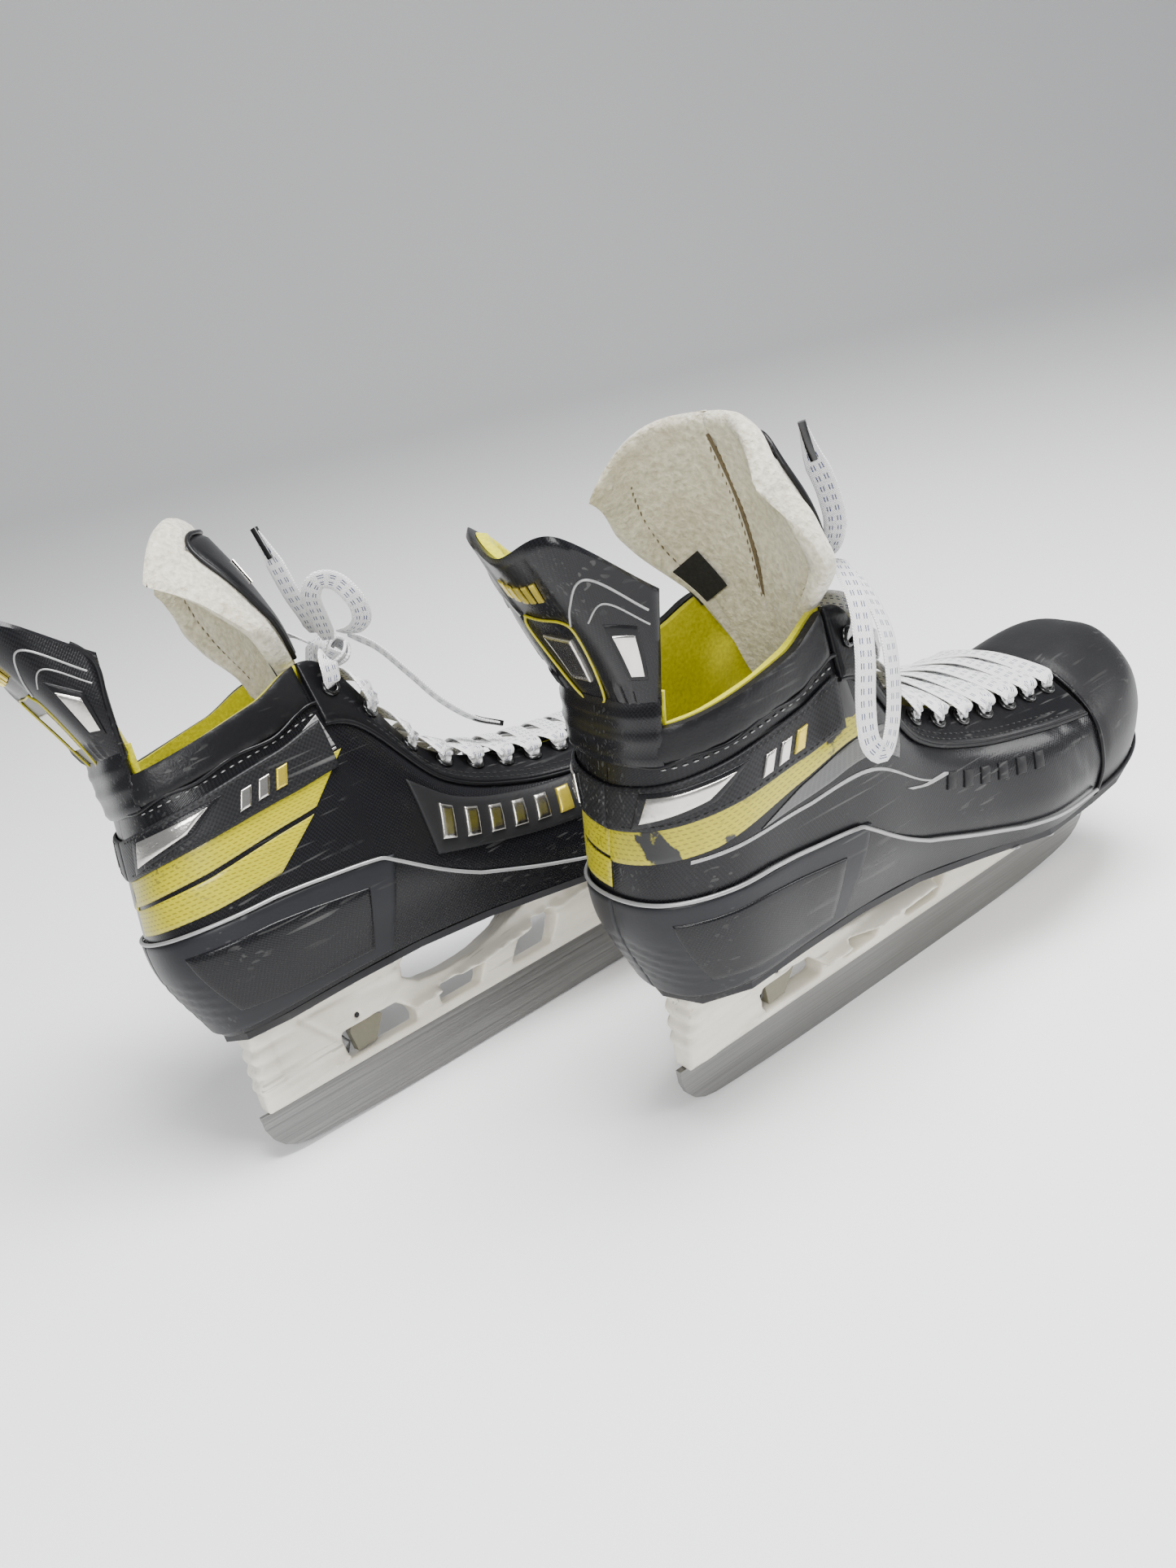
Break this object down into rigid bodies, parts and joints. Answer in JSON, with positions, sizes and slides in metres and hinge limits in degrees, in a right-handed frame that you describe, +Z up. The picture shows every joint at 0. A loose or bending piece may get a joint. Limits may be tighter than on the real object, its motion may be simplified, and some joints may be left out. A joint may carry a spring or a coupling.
{
  "type": "pair of ice hockey skates",
  "caption": "Pair of laced ice hockey boots with padded collars, tendon guards and felt tongues, on moulded blade holders with quick-release steel runners.",
  "frame": {"origin": "on the ice, under the middle of the box that the pair fills", "axes": "+X forward, from the heels to the toes; +Y from the left skate to the right one, which stands beside and behind it and leans 16 degrees towards +Y; +Z up from the ice"},
  "size_m": [0.451, 0.2884, 0.271],
  "materials": {
    "steel": "brushed along its length, scratched",
    "holder_plastic": "warm white moulded plastic, scuffed",
    "trigger_plastic": "grey-olive moulded plastic",
    "dark_metal": "glossy black enamel on steel or brass",
    "sole": "black composite plate",
    "footbed": "grey cloth over foam",
    "shell": "glossy black moulded composite with a fine diagonal weave",
    "toe_cap": "dark grey hard plastic, scuffed",
    "overlay": "dark grey moulded overlay",
    "woven_strap": "black webbing with a diagonal weave",
    "facing": "black synthetic leather with a stitched, piped edge",
    "lining": "bright yellow brushed microfibre",
    "collar": "smooth black padded leatherette",
    "felt": "off-white pressed felt, stained",
    "lace": "flat white cotton lace with navy dashes",
    "stripe": "yellow film with a fine dash pattern",
    "trim": "bright silver trim"
  },
  "bodies": {
    "left_boot": {"left_blade_holder": "holder_plastic", "left_trigger_pin": "dark_metal", "left_trigger_spring": "dark_metal", "left_outsole": "sole", "left_footbed": "footbed", "left_quarter_lateral": "shell", "left_quarter_medial": "shell", "left_toe_cap": "toe_cap", "left_heel_counter": "overlay", "left_ankle_strap": "woven_strap", "left_facing_lateral": "facing", "left_facing_medial": "facing", "left_eyelets_lateral": "dark_metal", "left_eyelets_medial": "dark_metal", "left_liner": "lining", "left_collar_pad_lateral": "collar", "left_collar_pad_medial": "collar", "left_tongue_lower": "felt", "left_lacing": "lace", "left_lace_knot": "lace", "left_lace_loop_near": "lace", "left_lace_loop_far": "lace", "left_lace_tail_near": "lace", "left_lace_tail_far": "lace"},
    "left_runner": {"left_runner": "steel"},
    "left_trigger": {"left_blade_trigger": "trigger_plastic"},
    "left_tendon": {"left_tendon_guard": "shell", "left_tendon_lining": "lining"},
    "left_tongue": {"left_tongue_upper": "felt", "left_tongue_cover": "facing"},
    "right_boot": {"right_blade_holder": "holder_plastic", "right_trigger_pin": "dark_metal", "right_trigger_spring": "dark_metal", "right_outsole": "sole", "right_footbed": "footbed", "right_quarter_lateral": "shell", "right_quarter_medial": "shell", "right_toe_cap": "toe_cap", "right_heel_counter": "overlay", "right_ankle_strap": "woven_strap", "right_facing_lateral": "facing", "right_facing_medial": "facing", "right_eyelets_lateral": "dark_metal", "right_eyelets_medial": "dark_metal", "right_liner": "lining", "right_collar_pad_lateral": "collar", "right_collar_pad_medial": "collar", "right_tongue_lower": "felt", "right_lacing": "lace", "right_lace_knot": "lace", "right_lace_loop_near": "lace", "right_lace_loop_far": "lace", "right_lace_tail_near": "lace", "right_lace_tail_far": "lace"},
    "right_runner": {"right_runner": "steel"},
    "right_trigger": {"right_blade_trigger": "trigger_plastic"},
    "right_tendon": {"right_tendon_guard": "shell", "right_tendon_lining": "lining"},
    "right_tongue": {"right_tongue_upper": "felt", "right_tongue_cover": "facing"}
  },
  "joints": [
    {"name": "left_runner_release", "type": "hinge", "parent": "left_boot", "child": "left_runner", "pos_m": [0.2095, -0.09125, 0.027], "axis": [0, -1, 0], "range_deg": [0, 12]},
    {"name": "left_trigger_pull", "type": "hinge", "parent": "left_boot", "child": "left_trigger", "pos_m": [-0.0075, -0.09125, 0.043], "axis": [0, 1, 0], "range_deg": [0, 12], "stiffness_Nm_per_rad": 0.05, "deforming": ["left_trigger_spring"]},
    {"name": "left_tendon_flex", "type": "hinge", "parent": "left_boot", "child": "left_tendon", "pos_m": [-0.0605, -0.09125, 0.184], "axis": [0, -1, 0], "range_deg": [0, 20], "stiffness_Nm_per_rad": 2},
    {"name": "left_tongue_flex", "type": "hinge", "parent": "left_boot", "child": "left_tongue", "pos_m": [0.0295, -0.09125, 0.187], "axis": [0, -1, 0], "range_deg": [0, 12], "stiffness_Nm_per_rad": 0.5},
    {"name": "right_runner_release", "type": "hinge", "parent": "right_boot", "child": "right_runner", "pos_m": [0.0755, 0.0342, 0.02637], "axis": [0, -0.9613, 0.2756], "range_deg": [0, 12]},
    {"name": "right_trigger_pull", "type": "hinge", "parent": "right_boot", "child": "right_trigger", "pos_m": [-0.1415, 0.03861, 0.04175], "axis": [0, 0.9613, -0.2756], "range_deg": [0, 12], "stiffness_Nm_per_rad": 0.05, "deforming": ["right_trigger_spring"]},
    {"name": "right_tendon_flex", "type": "hinge", "parent": "right_boot", "child": "right_tendon", "pos_m": [-0.1945, 0.07747, 0.17729], "axis": [0, -0.9613, 0.2756], "range_deg": [0, 20], "stiffness_Nm_per_rad": 2},
    {"name": "right_tongue_flex", "type": "hinge", "parent": "right_boot", "child": "right_tongue", "pos_m": [-0.1045, 0.0783, 0.18017], "axis": [0, -0.9613, 0.2756], "range_deg": [0, 12], "stiffness_Nm_per_rad": 0.5},
    {"name": "pair_spacing", "type": "slide", "parent": "left_boot", "child": "right_boot", "axis": [0, 1, 0], "range_m": [0, 0.3]}
  ]
}
